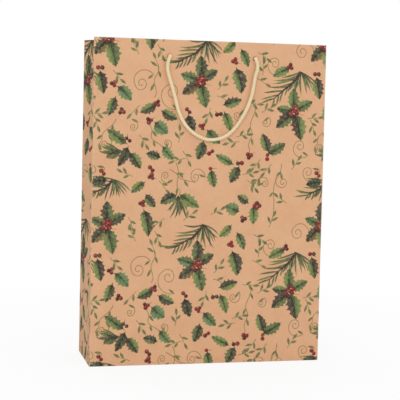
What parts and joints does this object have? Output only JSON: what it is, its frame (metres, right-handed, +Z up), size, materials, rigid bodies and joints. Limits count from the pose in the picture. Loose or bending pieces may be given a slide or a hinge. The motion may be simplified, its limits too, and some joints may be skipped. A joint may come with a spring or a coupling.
{
  "type": "paper gift bag",
  "caption": "Portrait kraft-paper gift bag with folded gussets, a flat folded base, turned-over top edge, holly-pattern print and two knotted cord handles.",
  "frame": {"origin": "middle of the base, on the surface the bag stands on", "axes": "+Z up, X along the width, the front wall faces -Y"},
  "size_m": [0.25, 0.0834, 0.34],
  "materials": {
    "printed_kraft": "matte kraft paper with an all-over holly print",
    "plain_kraft": "unprinted kraft paper",
    "grey_board": "grey board",
    "cream_cord": "satin twisted cord"
  },
  "bodies": {
    "base": {"front_bottom_flap": "printed_kraft", "rear_bottom_flap": "printed_kraft", "left_bottom_tuck": "printed_kraft", "right_bottom_tuck": "printed_kraft", "base_card": "grey_board"},
    "front_wall": {"front_panel": "printed_kraft", "front_hem": "printed_kraft", "front_hem_card": "grey_board", "front_left_knot": "cream_cord", "front_right_knot": "cream_cord"},
    "rear_wall": {"rear_panel": "printed_kraft", "rear_hem": "printed_kraft", "rear_hem_card": "grey_board", "rear_left_knot": "cream_cord", "rear_right_knot": "cream_cord", "side_seam_tab": "plain_kraft"},
    "left_front_gusset": {"left_gusset_front": "printed_kraft", "left_front_gusset_hem": "printed_kraft"},
    "left_rear_gusset": {"left_gusset_rear": "printed_kraft", "left_rear_gusset_hem": "printed_kraft"},
    "right_front_gusset": {"right_gusset_front": "printed_kraft", "right_front_gusset_hem": "printed_kraft"},
    "right_rear_gusset": {"right_gusset_rear": "printed_kraft", "right_rear_gusset_hem": "printed_kraft"},
    "front_handle": {"front_handle_cord": "cream_cord"},
    "rear_handle": {"rear_handle_cord": "cream_cord"}
  },
  "joints": [
    {"name": "mouth_close", "type": "hinge", "parent": "base", "child": "front_wall", "pos_m": [0, -0.04, 0], "axis": [-1, 0, 0], "range_deg": [0, 3.88]},
    {"name": "rear_wall_close", "type": "hinge", "parent": "base", "child": "rear_wall", "pos_m": [0, 0.04, 0], "axis": [1, 0, 0], "range_deg": [0, 3.88]},
    {"name": "left_front_gusset_fold", "type": "hinge", "parent": "front_wall", "child": "left_front_gusset", "pos_m": [-0.125, -0.04, 0], "axis": [0.7475, 0.6639, 0.0225], "range_deg": [0, 5.49], "deforming": ["left_gusset_front", "left_front_gusset_hem"]},
    {"name": "left_rear_gusset_fold", "type": "hinge", "parent": "rear_wall", "child": "left_rear_gusset", "pos_m": [-0.125, 0.04, 0], "axis": [-0.7475, 0.6639, -0.0225], "range_deg": [0, 5.49], "deforming": ["left_gusset_rear", "left_rear_gusset_hem"]},
    {"name": "right_front_gusset_fold", "type": "hinge", "parent": "front_wall", "child": "right_front_gusset", "pos_m": [0.125, -0.04, 0], "axis": [0.7475, -0.6639, -0.0225], "range_deg": [0, 5.49], "deforming": ["right_gusset_front", "right_front_gusset_hem"]},
    {"name": "right_rear_gusset_fold", "type": "hinge", "parent": "rear_wall", "child": "right_rear_gusset", "pos_m": [0.125, 0.04, 0], "axis": [-0.7475, -0.6639, 0.0225], "range_deg": [0, 5.49], "deforming": ["right_gusset_rear", "right_rear_gusset_hem"]},
    {"name": "front_handle_swing", "type": "hinge", "parent": "front_wall", "child": "front_handle", "pos_m": [0, -0.0387, 0.32301], "axis": [-1, 0, 0], "range_deg": [0, 178]},
    {"name": "rear_handle_swing", "type": "hinge", "parent": "rear_wall", "child": "rear_handle", "pos_m": [0, 0.0387, 0.32301], "axis": [1, 0, 0], "range_deg": [0, 178]}
  ],
  "couplings": [
    {"joint": "rear_wall_close", "follows": "mouth_close", "ratio": 1},
    {"joint": "left_front_gusset_fold", "follows": "mouth_close", "ratio": 1.3374},
    {"joint": "left_rear_gusset_fold", "follows": "mouth_close", "ratio": 1.3374},
    {"joint": "right_front_gusset_fold", "follows": "mouth_close", "ratio": 1.3374},
    {"joint": "right_rear_gusset_fold", "follows": "mouth_close", "ratio": 1.3374}
  ]
}
